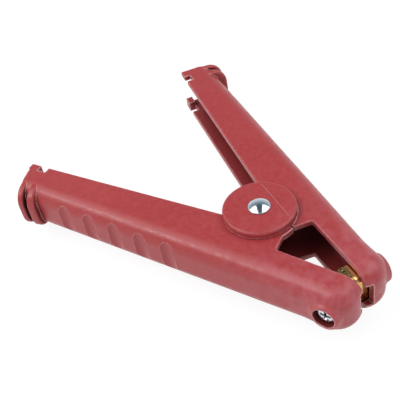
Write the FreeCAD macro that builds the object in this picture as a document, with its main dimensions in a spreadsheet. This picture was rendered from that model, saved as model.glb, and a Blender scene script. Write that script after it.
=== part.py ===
import FreeCAD, Part
import math
import os
import Sketcher

# Insulated spring clip, lying on its side, in millimetres.
# +X runs from the pivot to the jaws, +Y towards the back lever, +Z along the pivot rivet.
# The row origin is the middle of the closed jaws, grip_reach ahead of the pivot axis.
SIZES = [
    ("grip_reach", 45.0),          # pivot axis to the middle of the closed jaws
    ("body_thick", 20.0),          # over the two cheeks of a lever
    ("wall", 2.3),                 # moulded wall
    ("handle_angle", 20.7),        # inner edge of a handle to X, degrees
    ("handle_offset", 5.6),        # pivot axis to that edge
    ("handle_reach", 105.1),       # pivot axis to the handle's end, along the edge
    ("front_end_lean", 12.0),      # end face of the front lever, degrees from square
    ("back_end_lean", 1.0),        # end face of the back lever, degrees from square
    ("back_angle", 17.25),         # outer back to X, degrees
    ("back_offset", 26.8),         # pivot axis to the outer back
    ("corner_round", 6.5),         # cheek to back
    ("jaw_angle", 15.1),           # jaw edge to X, degrees
    ("jaw_offset", 13.75),         # pivot axis to the jaw edge
    ("jaw_reach", 48.0),           # pivot axis to the nose end, along the jaw edge
    ("nose_length", 17.0),         # nose end back to the start of the nose's swelling
    ("nose_angle", 11.35),         # its back to X, degrees
    ("nose_blend", 25.0),
    ("nose_slant", 20.0),          # nose end, degrees from square to the jaw edge
    ("nose_round", 9.1),           # nose corner seen along the pivot
    ("nose_wall", 2.1),            # end wall of the nose
    ("throat_reach", 14.7),        # pivot axis to the throat corner, along the jaw edge
    ("throat_radius", 15.3),       # round of the cheek behind the throat
    ("throat_angle", 11.0),        # where that round meets the back lever's cheek
    ("skirt_angle", 8.0),          # where it meets the front lever's cheek
    ("edge_round", 0.5),           # small outer edges of the mouldings
    ("rim_round", 0.4),            # edges of the open rims
    ("disc_radius", 14.1),         # raised pivot disc
    ("disc_rise", 3.1),            # its face above the cheek
    ("disc_edge_round", 0.9),
    ("ear_radius", 9.3),           # round ear under the other lever's disc
    ("ear_gap", 0.3),              # clearance round and over that ear
    ("rib_depth", 19.6),           # handle edge to the outside of a rib
    ("rib_corner", 7.0),
    ("end_rib_width", 2.6),
    ("rib_groove", 2.2),
    ("second_rib_width", 3.4),
    ("rib_flat", 7.0),             # start of a rib on the cheek, from the handle edge
    ("rib_inset", 0.2),            # rib below the face of the cheek
    ("rib_rim_round", 0.9),
    ("lug_length", 4.6),           # end lug on the ear's cheek, along the handle
    ("lug_width", 3.0),
    ("lug_height", 4.6),
    ("notch_length", 4.2),         # notch behind the lug
    ("notch_depth", 2.9),
    ("grip_count", 5.0),           # finger recesses on the back
    ("grip_pitch", 12.65),
    ("grip_first", 26.6),          # handle end to the first recess
    ("grip_radius", 5.2),
    ("grip_depth", 1.1),
    ("tip_notch_depth", 2.9),
    ("tip_notch_height", 10.4),
    ("boss_setback", 8.4),         # nose end back to the nose screw, along the jaw edge
    ("boss_radius", 5.4),
    ("boss_top", 27.2),            # pivot side datum of the jaw to the boss rim
    ("boss_round", 0.9),
    ("boss_taper", 10.0),
    ("boss_foot_round", 2.0),      # boss to nose
    ("counterbore_radius", 4.2),
    ("head_sink", 1.6),            # boss rim down to the screw head's face
    ("seat_wall", 2.2),            # plastic under the screw head
    ("screw_radius", 2.0),
    ("screw_hole_gap", 0.25),
    ("head_radius", 3.4),
    ("head_height", 2.4),
    ("head_round", 0.5),
    ("cross_width", 0.9),          # cross recess of the screw
    ("cross_span", 3.8),
    ("cross_depth", 1.5),
    ("screw_run_out", 0.6),        # screw past its nut
    ("nut_flats", 7.0),
    ("nut_height", 3.2),
    ("lock_washer_radius", 2.9),
    ("lock_washer_thick", 0.8),
    ("contact_sheet", 1.2),
    ("contact_base", 1.5),
    ("contact_side_gap", 0.65),    # sheet to the inside of a cheek
    ("contact_front_gap", 0.7),
    ("contact_corner", 2.65),      # front to base, seen along the pivot
    ("contact_bend", 2.5),         # front and base to the sides
    ("contact_length", 8.0),       # toothed edge, back from the front
    ("contact_parting", 0.15),     # half the gap between the closed contacts
    ("tooth_pitch", 1.6),
    ("tooth_depth", 0.7),
    ("tail_length", 9.0),          # wire tail behind the contact
    ("tail_width", 8.0),
    ("rivet_radius", 2.5),
    ("rivet_fit", 0.08),           # radial clearance in the levers
    ("rivet_head_radius", 4.35),
    ("rivet_head_height", 1.5),
    ("head_lip", 0.25),            # share of that height below the dome
    ("rivet_end_play", 0.1),
    ("rivet_washer_radius", 5.5),
    ("rivet_washer_thick", 0.8),
    ("sleeve_wall", 1.2),
    ("sleeve_end_gap", 0.1),
    ("wire_radius", 1.0),          # torsion spring
    ("coil_radius", 5.6),          # to the wire's centre line
    ("coil_turns", 5.0),           # whole turns between the legs
    ("coil_end_gap", 0.3),
    ("knee_radius", 1.06),         # swelling of the wire where a leg leaves the coil
    ("leg_length", 44.0),
]

doc = FreeCAD.newDocument("insulated_clip")
sheet = doc.addObject("Spreadsheet::Sheet", "Sizes")
for row, (alias, value) in enumerate(SIZES, start=1):
    sheet.set("A%d" % row, alias)
    sheet.set("B%d" % row, repr(value))
    sheet.setAlias("B%d" % row, alias)
doc.recompute()

Z_AXIS = FreeCAD.Vector(0, 0, 1)


def size(alias):
    return float(getattr(sheet, alias))


def heading(degrees_from_x):
    turn = math.radians(degrees_from_x)
    return FreeCAD.Vector(math.cos(turn), math.sin(turn), 0)


def polar(radius, degrees_from_x):
    return heading(degrees_from_x) * radius


def lifted(point, height):
    return point + Z_AXIS * height


def meet(point, along, other_point, other_along):
    """Crossing of two lines in the plan."""
    cross = along.x * other_along.y - along.y * other_along.x
    gap = other_point - point
    reach = (gap.x * other_along.y - gap.y * other_along.x) / cross
    return point + along * reach


# Directions of the back lever in plan: each edge, and its square towards the outer back
handle_along = heading(180 - size("handle_angle"))
handle_out = heading(90 - size("handle_angle"))
jaw_along = heading(-size("jaw_angle"))
jaw_out = heading(90 - size("jaw_angle"))
back_along = heading(-size("back_angle"))
back_out = heading(90 - size("back_angle"))

half_thick = size("body_thick") / 2
half_gap = half_thick - size("wall")
ear_seat_radius = size("ear_radius") + size("ear_gap")
handle_corner = handle_out * size("handle_offset") + handle_along * size("handle_reach")
throat_corner = jaw_out * size("jaw_offset") + jaw_along * size("throat_reach")
nose_tip = jaw_out * size("jaw_offset") + jaw_along * size("jaw_reach")
nose_along = heading(-size("nose_angle"))
nose_out = heading(90 - size("nose_angle"))
nose_reach = size("jaw_reach") - size("nose_length")
boss_foot = jaw_along * (size("jaw_reach") - size("boss_setback"))
contact_front = size("jaw_reach") - size("nose_wall") - size("contact_front_gap")
seat_level = size("boss_top") - size("head_sink") - size("head_height")
base_level = seat_level - size("seat_wall")
nut_level = base_level - size("contact_base") - size("lock_washer_thick")


def bind(feature, prop, formula):
    feature.setExpression(prop, formula)


def on_handle_edge(radius):
    """Point of the handle's inner edge at a radius from the pivot."""
    return (handle_out * size("handle_offset")
            + handle_along * math.sqrt(radius ** 2 - size("handle_offset") ** 2))


def bearing(point):
    return math.degrees(math.atan2(point.y, point.x))


def new_body(name):
    body = doc.addObject("PartDesign::Body", name)
    body.Label = name
    bind(body, "Placement.Base.x", "-Sizes.grip_reach")
    return body


def sketch_on(body, name, origin, across, normal):
    """Sketch whose X axis is across and whose Z axis is normal, with its origin in place."""
    ground = next(f for f in body.Origin.OriginFeatures if f.Role == "XY_Plane")
    sketch = body.newObject("Sketcher::SketchObject", name)
    sketch.AttachmentSupport = (ground, [""])
    sketch.MapMode = "FlatFace"
    turn = FreeCAD.Rotation(across, normal.cross(across), normal, "ZXY")
    sketch.AttachmentOffset = FreeCAD.Placement(origin, turn)
    return sketch


def plan_sketch(body, name, height=0.0):
    return sketch_on(body, name, FreeCAD.Vector(0, 0, height), FreeCAD.Vector(1, 0, 0), Z_AXIS)


def hold(sketch):
    for index in range(sketch.GeometryCount):
        sketch.addConstraint(Sketcher.Constraint("Block", index))


def draw_outline(sketch, corners):
    """Closed outline through (point, rounding radius) corners."""
    count = len(corners)
    starts, ends = [], []
    for index, (point, radius) in enumerate(corners):
        before = (corners[index - 1][0] - point).normalize()
        after = (corners[(index + 1) % count][0] - point).normalize()
        if radius <= 0:
            starts.append(point)
            ends.append(point)
            continue
        half_turn = before.getAngle(after) / 2
        reach = radius / math.tan(half_turn)
        middle = point + (before + after).normalize() * (radius / math.sin(half_turn))
        start, end = point + before * reach, point + after * reach
        crown = middle + (point - middle).normalize() * radius
        sketch.addGeometry(Part.Arc(start, crown, end), False)
        starts.append(start)
        ends.append(end)
    for index in range(count):
        sketch.addGeometry(Part.LineSegment(ends[index], starts[(index + 1) % count]), False)
    hold(sketch)


def draw_circles(sketch, centres, radius):
    for centre in centres:
        sketch.addGeometry(Part.Circle(centre, Z_AXIS, radius), False)
    hold(sketch)


def draw_sector(sketch, inner, outer, inner_turns, outer_turns):
    """Band between two radii, each from its own first to its own second bearing."""
    for radius, (first, second) in ((inner, inner_turns), (outer, outer_turns)):
        circle = Part.Circle(FreeCAD.Vector(0, 0, 0), Z_AXIS, radius)
        arc = Part.ArcOfCircle(circle, math.radians(first), math.radians(second))
        sketch.addGeometry(arc, False)
    for side in (0, 1):
        edge = Part.LineSegment(polar(inner, inner_turns[side]), polar(outer, outer_turns[side]))
        sketch.addGeometry(edge, False)
    hold(sketch)


def pad(body, name, sketch, formula, both_ways=False):
    feature = body.newObject("PartDesign::Pad", name)
    feature.Profile = sketch
    feature.SideType = "Symmetric" if both_ways else "One side"
    bind(feature, "Length", formula)
    doc.recompute()
    return feature


def pocket(body, name, sketch, formula, both_ways=False, upwards=False):
    volume = body.Shape.Volume
    feature = body.newObject("PartDesign::Pocket", name)
    feature.Profile = sketch
    feature.SideType = "Symmetric" if both_ways else "One side"
    feature.Reversed = upwards
    bind(feature, "Length", formula)
    doc.recompute()
    if body.Shape.Volume >= volume:
        raise RuntimeError("%s cuts nothing" % name)
    return feature


def fillet(body, name, base, test, formula):
    """Round the edges of base whose middle point passes the test."""
    names = []
    for index, edge in enumerate(base.Shape.Edges, start=1):
        middle = edge.valueAt((edge.FirstParameter + edge.LastParameter) / 2)
        if test(middle):
            names.append("Edge%d" % index)
    feature = body.newObject("PartDesign::Fillet", name)
    feature.Base = (base, names)
    bind(feature, "Radius", formula)
    doc.recompute()
    return feature


def nose_start(wall):
    """Where the back starts to swell into the nose, set in from the outside by a wall."""
    outside = meet(jaw_along * nose_reach, jaw_out, back_out * size("back_offset"), back_along)
    return meet(outside - nose_out * wall, nose_along,
                back_out * (size("back_offset") - wall), back_along)


def lever_outline(end_lean):
    """Plan of a lever's block: handle edge, pivot, throat, jaw edge, nose and back."""
    end_out = heading(90 - size("handle_angle") - end_lean)
    end_rise = heading(90 - size("jaw_angle") - size("nose_slant"))
    back_point = back_out * size("back_offset")
    swelling = nose_start(0)
    return [
        (handle_corner, 0),
        (on_handle_edge(ear_seat_radius), 0),
        (polar(ear_seat_radius, size("throat_angle")), 0),
        (polar(size("throat_radius"), size("throat_angle")), 0),
        (throat_corner, size("edge_round")),
        (nose_tip, 0),
        (meet(nose_tip, end_rise, swelling, nose_along), size("nose_round")),
        (swelling, size("nose_blend")),
        (meet(handle_corner, end_out, back_point, back_along), 0),
    ]


def cavity_outline():
    """Plan of the hollow: open to the other lever and at the handle's end."""
    wall, clear_of_lever = size("wall"), size("body_thick")
    inner_tip = jaw_along * (size("jaw_reach") - size("nose_wall"))
    swelling = nose_start(wall)
    past_end = (back_out * (size("back_offset") - wall)
                - back_along * (size("handle_reach") + clear_of_lever))
    return [
        (past_end, 0),
        (past_end - back_out * (size("handle_reach") + clear_of_lever), 0),
        (inner_tip - jaw_out * clear_of_lever, 0),
        (meet(inner_tip, jaw_out, swelling, nose_along), size("nose_round") - wall),
        (swelling, size("nose_blend")),
    ]


def near(value, target):
    return abs(value - target) < 0.01


def on_back_chain(point, height, wall=0.0):
    """Whether a point lies on the back or the nose, set in from the outside."""
    if not near(abs(point.z), height):
        return False
    back = point.dot(back_out) - size("back_offset") + wall
    on_end = point.dot(jaw_along) > size("jaw_reach") - size("wall")
    in_nose = point.dot(jaw_along) > nose_reach - size("wall") and back > -5
    return near(back, 0) or on_end or in_nose


def on_open_rim(point):
    """Whether a point lies on an inner or outer edge of the handle's or the jaw's open rim."""
    on_handle = near(point.dot(handle_out), size("handle_offset"))
    on_jaw = near(point.dot(jaw_out), size("jaw_offset"))
    return (on_handle or on_jaw) and (near(abs(point.z), half_thick)
                                      or near(abs(point.z), half_gap))


def add_block(body, end_lean):
    block_plan = plan_sketch(body, "block_plan")
    draw_outline(block_plan, lever_outline(end_lean))
    block = pad(body, "block", block_plan, "Sizes.body_thick", both_ways=True)
    fillet(body, "outer_rounding", block,
           lambda p: on_back_chain(p, half_thick), "Sizes.corner_round")
    add_ribs(body, end_lean)
    hollow_plan = plan_sketch(body, "hollow_plan")
    draw_outline(hollow_plan, cavity_outline())
    hollow = pocket(body, "hollow", hollow_plan, "Sizes.body_thick - 2 * Sizes.wall",
                    both_ways=True)
    lining = fillet(body, "inner_rounding", hollow,
                    lambda p: on_back_chain(p, half_gap, size("wall")),
                    "Sizes.corner_round - Sizes.wall")
    fillet(body, "rim_rounding", lining, on_open_rim, "Sizes.rim_round")


def add_ribs(body, end_lean):
    """Two rounded ribs round the back at the handle's end, each swept along its own path."""
    end_out = heading(90 - size("handle_angle") - end_lean)
    inwards = end_out.cross(Z_AXIS)
    top = half_thick - size("rib_inset")
    second = size("end_rib_width") + size("rib_groove")
    for name, station, width in (("end_rib", 0.0, size("end_rib_width")),
                                 ("second_rib", second, size("second_rib_width"))):
        start = handle_corner - handle_along * (station / inwards.dot(-handle_along))
        path = sketch_on(body, name + "_path", start, end_out, inwards)
        flat, depth = size("rib_flat"), size("rib_depth")
        corner = size("rib_corner")
        bend = depth - corner
        side = corner * math.sqrt(0.5)
        turns = []
        for way in (1, -1):
            middle = FreeCAD.Vector(bend + side, way * (top - corner + side), 0)
            ends = (FreeCAD.Vector(bend, way * top, 0), FreeCAD.Vector(depth, way * (top - corner), 0))
            turns.append(Part.Arc(ends[0], middle, ends[1]) if way > 0
                         else Part.Arc(ends[1], middle, ends[0]))
        path.addGeometry(Part.LineSegment(FreeCAD.Vector(flat, top, 0), turns[0].StartPoint), False)
        path.addGeometry(turns[0], False)
        path.addGeometry(Part.LineSegment(turns[0].EndPoint, turns[1].StartPoint), False)
        path.addGeometry(turns[1], False)
        path.addGeometry(Part.LineSegment(turns[1].EndPoint, FreeCAD.Vector(flat, -top, 0)), False)
        hold(path)
        section = sketch_on(body, name + "_section", lifted(start + end_out * flat, top),
                            inwards, end_out)
        to_back = (size("back_offset") - start.dot(back_out)) / end_out.dot(back_out)
        rim, root = size("rib_rim_round"), depth - to_back + size("wall") / 2
        draw_outline(section, [
            (FreeCAD.Vector(0, 0, 0), rim), (FreeCAD.Vector(width, 0, 0), rim),
            (FreeCAD.Vector(width, root, 0), 0), (FreeCAD.Vector(0, root, 0), 0)])
        sweep = body.newObject("PartDesign::AdditivePipe", name)
        sweep.Profile = section
        sweep.Spine = path
        doc.recompute()


def add_box(body, kind, name, corner, along, out, sizes):
    """Additive or subtractive box from a corner, along and out directions, and Z."""
    box = body.newObject("PartDesign::%sBox" % kind, name)
    turn = FreeCAD.Rotation(along, out, along.cross(out), "ZXY")
    box.Placement = FreeCAD.Placement(corner, turn)
    for prop, formula in zip(("Length", "Width", "Height"), sizes):
        bind(box, prop, formula)
    doc.recompute()
    return box


def add_end_lug(body):
    """A thickened lug at the end of the ear's cheek, and a notch behind it in both cheeks."""
    towards_pivot = -handle_along
    add_box(body, "Additive", "end_lug", lifted(handle_corner, -half_thick),
            towards_pivot, handle_out,
            ("Sizes.lug_length", "Sizes.lug_width", "Sizes.lug_height"))
    corner = handle_corner + towards_pivot * size("lug_length") - handle_out * size("wall")
    add_box(body, "Subtractive", "notch", lifted(corner, -size("body_thick")),
            towards_pivot, handle_out,
            ("Sizes.notch_length", "Sizes.notch_depth + Sizes.wall", "2 * Sizes.body_thick"))


def add_finger_recesses(body):
    """Upright round recesses across the back of the handle."""
    first = handle_corner - handle_along * size("grip_first")
    start = first + handle_out * ((size("back_offset") - first.dot(back_out))
                                  / handle_out.dot(back_out))
    sink = back_out * (size("grip_radius") - size("grip_depth"))
    centres = [start + back_along * (size("grip_pitch") * step) + sink
               for step in range(int(size("grip_count")))]
    recess_plan = plan_sketch(body, "recess_plan")
    draw_circles(recess_plan, centres, size("grip_radius"))
    pocket(body, "finger_recesses", recess_plan, "Sizes.body_thick", both_ways=True)


def add_boss(body):
    """Round boss through the nose's back, with a counterbore and a screw hole."""
    across = jaw_along
    foot = sketch_on(body, "boss_foot", boss_foot + jaw_out * base_level, across, jaw_out)
    spread = (size("boss_top") - base_level) * math.tan(math.radians(size("boss_taper")))
    draw_circles(foot, [FreeCAD.Vector(0, 0, 0)], size("boss_radius") + spread)
    boss = pad(body, "boss", foot, "Sizes.boss_top - %r" % base_level)
    bind(boss, "TaperAngle", "-Sizes.boss_taper")
    doc.recompute()

    fillet(body, "boss_rounding", boss,
           lambda p: near(p.dot(jaw_out), size("boss_top")), "Sizes.boss_round")
    rim = boss_foot + jaw_out * size("boss_top")
    bore = sketch_on(body, "counterbore_rim", rim, across, jaw_out)
    draw_circles(bore, [FreeCAD.Vector(0, 0, 0)], size("counterbore_radius"))
    pocket(body, "counterbore", bore, "Sizes.head_sink + Sizes.head_height")
    hole = sketch_on(body, "screw_hole_rim", rim, across, jaw_out)
    draw_circles(hole, [FreeCAD.Vector(0, 0, 0)], size("screw_radius") + size("screw_hole_gap"))
    pocket(body, "screw_hole", hole, "Sizes.boss_top - %r + Sizes.wall" % base_level)


def add_pivot(body):
    """Raised disc and ear seat on one side, round ear on the other, and the rivet holes."""
    seat = plan_sketch(body, "ear_seat_plan", half_gap)
    draw_circles(seat, [FreeCAD.Vector(0, 0, 0)], ear_seat_radius)
    pocket(body, "ear_seat", seat, "Sizes.body_thick", upwards=True)

    bridge = plan_sketch(body, "bridge_plan", half_thick - size("wall") / 2)
    turns = [(size("throat_angle"), bearing(on_handle_edge(radius)))
             for radius in (ear_seat_radius, size("disc_radius"))]
    draw_sector(bridge, ear_seat_radius, size("disc_radius"), turns[0], turns[1])
    pad(body, "bridge", bridge, "Sizes.wall / 2 + 2 * Sizes.ear_gap")

    disc_plan = plan_sketch(body, "disc_plan", half_thick + size("ear_gap"))
    draw_circles(disc_plan, [FreeCAD.Vector(0, 0, 0)], size("disc_radius"))
    disc = pad(body, "disc", disc_plan, "Sizes.disc_rise - Sizes.ear_gap")
    top = half_thick + size("disc_rise")
    fillet(body, "disc_rounding", disc, lambda p: near(p.z, top), "Sizes.disc_edge_round")

    ear_plan = plan_sketch(body, "ear_plan", -half_thick)
    draw_circles(ear_plan, [FreeCAD.Vector(0, 0, 0)], size("ear_radius"))
    pad(body, "ear", ear_plan, "Sizes.wall")
    skirt = plan_sketch(body, "ear_skirt_plan", -half_thick)
    inside = size("ear_radius") - size("wall")
    reach = (-size("skirt_angle"), size("throat_angle") + size("skirt_angle"))
    draw_sector(skirt, inside, size("throat_radius"), reach, reach)
    pad(body, "ear_skirt", skirt, "Sizes.wall")

    hole = plan_sketch(body, "rivet_hole_plan", top + size("wall"))
    draw_circles(hole, [FreeCAD.Vector(0, 0, 0)], size("rivet_radius") + size("rivet_fit"))
    pocket(body, "rivet_hole", hole, "2 * (Sizes.body_thick + Sizes.disc_rise)")


def add_tip_notch(body):
    """Step in the nose end, so that the contact shows at the tip."""
    corner = nose_tip + jaw_along * size("wall") + jaw_out * size("tip_notch_depth")
    corner = lifted(corner, -size("tip_notch_height") / 2)
    add_box(body, "Subtractive", "tip_notch", corner, -jaw_along, -jaw_out,
            ("3 * Sizes.wall", "2 * Sizes.tip_notch_depth", "Sizes.tip_notch_height"))


def round_boss_foot(body):
    """Blend the boss softly into the nose, all round its foot."""
    outside = size("boss_top") - size("boss_round") - size("wall")
    inner, outer = size("boss_radius") - size("rim_round"), size("boss_radius") + size("wall")

    def on_foot(point):
        rise = (point - boss_foot).dot(jaw_out)
        radius = (point - boss_foot - jaw_out * rise).Length
        return inner < radius < outer and rise > outside and not near(rise, size("boss_top"))
    fillet(body, "boss_foot_rounding", body.Tip, on_foot, "Sizes.boss_foot_round")


def make_lever(name, end_lean):
    body = new_body(name)
    add_block(body, end_lean)
    add_end_lug(body)
    add_finger_recesses(body)
    add_boss(body)
    add_pivot(body)
    add_tip_notch(body)
    round_boss_foot(body)
    return body


def contact_outline(inset, rear, depth):
    """Plan of the contact, from its rear edge round the base and the front, open at the mouth."""
    front, base = contact_front - inset, base_level - depth
    outline = [(rear, 0), (rear, base), (front, base), (front, 0)]
    corner = size("contact_corner") - inset
    return [(jaw_along * along + jaw_out * out, corner if (along, out) == (front, base) else 0)
            for along, out in outline]


def make_contact(name):
    """Folded brass jaw: a cup with a toothed mouth, and a tail for the wire."""
    body = new_body(name)
    rear = contact_front - size("contact_length")
    block_plan = plan_sketch(body, "cup_plan")
    draw_outline(block_plan, contact_outline(0, rear, 0))
    cup = pad(body, "cup", block_plan,
              "Sizes.body_thick - 2 * Sizes.wall - 2 * Sizes.contact_side_gap", both_ways=True)
    half_width = half_gap - size("contact_side_gap")

    def on_fold(point):
        along, out = point.dot(jaw_along), point.dot(jaw_out)
        on_side = near(abs(point.z), half_width)
        return on_side and along > rear + 0.1 and out > 0.1
    fillet(body, "cup_folds", cup, on_fold, "Sizes.contact_bend")
    inside = plan_sketch(body, "cup_inside")
    draw_outline(inside, contact_outline(size("contact_sheet"), rear - size("wall"),
                                         size("contact_base")))
    pocket(body, "cup_hollow", inside,
           "Sizes.body_thick - 2 * Sizes.wall - 2 * Sizes.contact_side_gap"
           " - 2 * Sizes.contact_sheet", both_ways=True)

    far = size("jaw_reach")
    low = FreeCAD.Vector(0, size("contact_parting") - far, -size("body_thick"))
    add_box(body, "Subtractive", "mouth_cut", low, FreeCAD.Vector(1, 0, 0),
            FreeCAD.Vector(0, 1, 0), ("2 * Sizes.jaw_reach", "Sizes.jaw_reach",
                                      "2 * Sizes.body_thick"))
    teeth = plan_sketch(body, "teeth_plan")
    mouth = size("contact_parting")
    pitch, depth = size("tooth_pitch"), size("tooth_depth")
    rear_x = (jaw_along * rear).x + pitch
    count = int(size("contact_length") / pitch)
    for index in range(count):
        middle = rear_x + pitch * index
        points = [FreeCAD.Vector(middle - depth * 0.6, mouth - 0.1, 0),
                  FreeCAD.Vector(middle, mouth + depth, 0),
                  FreeCAD.Vector(middle + depth * 0.6, mouth - 0.1, 0)]
        for start, end in zip(points, points[1:] + points[:1]):
            teeth.addGeometry(Part.LineSegment(start, end), False)
    hold(teeth)
    pocket(body, "teeth", teeth, "Sizes.body_thick", both_ways=True)

    tail_corner = (jaw_out * (base_level - size("contact_base"))
                   + jaw_along * (rear - size("tail_length")))
    add_box(body, "Additive", "tail", lifted(tail_corner, -size("tail_width") / 2),
            jaw_along, jaw_out, ("Sizes.tail_length + Sizes.wall", "Sizes.contact_base",
                                 "Sizes.tail_width"))
    hole = sketch_on(body, "contact_hole", boss_foot + jaw_out * (base_level + size("wall")),
                     jaw_along, jaw_out)
    draw_circles(hole, [FreeCAD.Vector(0, 0, 0)], size("screw_radius") + size("screw_hole_gap"))
    pocket(body, "contact_screw_hole", hole, "2 * Sizes.wall + Sizes.contact_base")
    return body


def make_screw(name):
    """Cheese head machine screw with a cross recess, into the nose from its back."""
    body = new_body(name)
    stem = (size("seat_wall") + size("contact_base") + size("lock_washer_thick")
            + size("nut_height") + size("screw_run_out"))
    profile = sketch_on(body, "screw_profile", boss_foot + jaw_out * seat_level,
                        jaw_along, jaw_along.cross(jaw_out))
    head, shank = size("head_radius"), size("screw_radius")
    tip = size("screw_run_out") / 2
    draw_outline(profile, [
        (FreeCAD.Vector(0, size("head_height"), 0), 0),
        (FreeCAD.Vector(head, size("head_height"), 0), size("head_round")),
        (FreeCAD.Vector(head, 0, 0), 0),
        (FreeCAD.Vector(shank, 0, 0), 0),
        (FreeCAD.Vector(shank, tip - stem, 0), 0),
        (FreeCAD.Vector(shank - tip, -stem, 0), 0),
        (FreeCAD.Vector(0, -stem, 0), 0),
    ])
    turned = body.newObject("PartDesign::Revolution", "turned")
    turned.Profile = profile
    turned.ReferenceAxis = (profile, ["V_Axis"])
    turned.Angle = 360
    doc.recompute()
    face = boss_foot + jaw_out * (seat_level + size("head_height"))
    cross = sketch_on(body, "cross_plan", face, jaw_along, jaw_out)
    half, arm = size("cross_width") / 2, size("cross_span") / 2
    corners = [(arm, half), (half, half), (half, arm), (-half, arm), (-half, half), (-arm, half),
               (-arm, -half), (-half, -half), (-half, -arm), (half, -arm), (half, -half),
               (arm, -half)]
    draw_outline(cross, [(FreeCAD.Vector(x, y, 0), 0) for x, y in corners])
    pocket(body, "cross_recess", cross, "Sizes.cross_depth")
    return body


def make_nut(name):
    body = new_body(name)
    face = boss_foot + jaw_out * nut_level
    flats = sketch_on(body, "nut_plan", face, jaw_along, -jaw_out)
    corner_radius = size("nut_flats") / 2 / math.cos(math.radians(30))
    draw_outline(flats, [(polar(corner_radius, 60 * side), 0) for side in range(6)])
    pad(body, "nut_block", flats, "Sizes.nut_height")
    bore = sketch_on(body, "nut_bore", face, jaw_along, jaw_out)
    draw_circles(bore, [FreeCAD.Vector(0, 0, 0)], size("screw_radius"))
    pocket(body, "nut_hole", bore, "Sizes.nut_height")
    return body


def make_ring(name, outer, inner, height, origin, normal):
    """Flat ring between two formulas for the radii, from an origin along a normal."""
    parts = []
    for role, radius in (("outside", outer), ("inside", inner)):
        cylinder = doc.addObject("Part::Cylinder", "%s_%s" % (name, role))
        bind(cylinder, "Radius", radius)
        bind(cylinder, "Height", height)
        turn = FreeCAD.Rotation(Z_AXIS, normal)
        cylinder.Placement = FreeCAD.Placement(origin, turn)
        parts.append(cylinder)
    ring = doc.addObject("Part::Cut", name)
    ring.Base, ring.Tool = parts
    ring.Label = name
    bind(ring, "Placement.Base.x", "-Sizes.grip_reach")
    return ring


def make_rivet():
    """Pivot rivet: mushroom head on the back lever's disc, formed tail under the washer."""
    body = new_body("pivot_rivet")
    profile = sketch_on(body, "rivet_profile", FreeCAD.Vector(0, 0, 0),
                        FreeCAD.Vector(1, 0, 0), FreeCAD.Vector(0, -1, 0))
    face = half_thick + size("disc_rise")
    head_base = face + size("rivet_end_play")
    tail_base = -face - size("rivet_washer_thick")
    head, height = size("rivet_head_radius"), size("rivet_head_height")
    shank = size("rivet_radius")

    def dome(base, way):
        lip = height * size("head_lip") * way
        rise = height * way - lip
        centre = base + lip + (rise ** 2 - head ** 2) / (2 * rise)
        sphere = math.hypot(head, base + lip - centre) * way
        middle = math.asin(head / abs(sphere)) / 2
        side = FreeCAD.Vector(abs(sphere) * math.sin(middle), centre + sphere * math.cos(middle), 0)
        return (FreeCAD.Vector(head, base + lip, 0), side,
                FreeCAD.Vector(0, base + height * way, 0))
    top_rim, top_side, top_crown = dome(head_base, 1)
    low_rim, low_side, low_crown = dome(tail_base, -1)
    straight = [
        (top_rim, FreeCAD.Vector(head, head_base, 0)),
        (FreeCAD.Vector(head, head_base, 0), FreeCAD.Vector(shank, head_base, 0)),
        (FreeCAD.Vector(shank, head_base, 0), FreeCAD.Vector(shank, tail_base, 0)),
        (FreeCAD.Vector(shank, tail_base, 0), FreeCAD.Vector(head, tail_base, 0)),
        (FreeCAD.Vector(head, tail_base, 0), low_rim),
        (low_crown, top_crown),
    ]
    profile.addGeometry(Part.Arc(top_rim, top_side, top_crown), False)
    profile.addGeometry(Part.Arc(low_rim, low_side, low_crown), False)
    for start, end in straight:
        profile.addGeometry(Part.LineSegment(start, end), False)
    hold(profile)
    turned = body.newObject("PartDesign::Revolution", "rivet_turned")
    turned.Profile = profile
    turned.ReferenceAxis = (profile, ["V_Axis"])
    turned.Angle = 360
    doc.recompute()
    return body


def make_spring():
    """Torsion spring: coil round the sleeve and a leg into the rounded corner of each back."""
    coil, wire = size("coil_radius"), size("wire_radius")
    half_rise = half_gap - size("coil_end_gap") - wire
    to_back = size("back_offset") - size("corner_round")
    rise_angle = 0.0
    for _ in range(20):
        rise_angle = math.asin((to_back - coil * math.cos(rise_angle)) / size("leg_length"))
    leg_angle = size("back_angle") + math.degrees(rise_angle)
    half_turn = 90 - leg_angle
    pitch = 2 * half_rise * 360 / (360 * size("coil_turns") + 2 * half_turn)
    section = Part.makeCircle(wire, FreeCAD.Vector(coil, 0, 0), FreeCAD.Vector(0, 1, 0))
    helix = Part.Wire(Part.makeHelix(pitch, 2 * half_rise, coil))
    solid = helix.makePipeShell([Part.Wire(section)], True, True)
    solid.rotate(FreeCAD.Vector(0, 0, 0), Z_AXIS, -half_turn)
    solid.translate(FreeCAD.Vector(0, 0, -half_rise))
    for side in (1, -1):
        start = lifted(polar(coil, side * half_turn), side * half_rise)
        along = heading(side * (180 - leg_angle))
        leg = Part.makeCylinder(wire, size("leg_length"), start, along)
        solid = solid.fuse([leg, Part.makeSphere(size("knee_radius"), start, along)])
    spring = doc.addObject("Part::Feature", "torsion_spring")
    spring.Label = "torsion_spring"
    spring.Shape = solid.Solids[0]
    bind(spring, "Placement.Base.x", "-Sizes.grip_reach")
    return spring


def turn_over(part):
    """Turn a lever's piece half a turn about X, for the front lever."""
    part.Placement = FreeCAD.Placement(part.Placement.Base,
                                       FreeCAD.Rotation(FreeCAD.Vector(1, 0, 0), 180))


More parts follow.
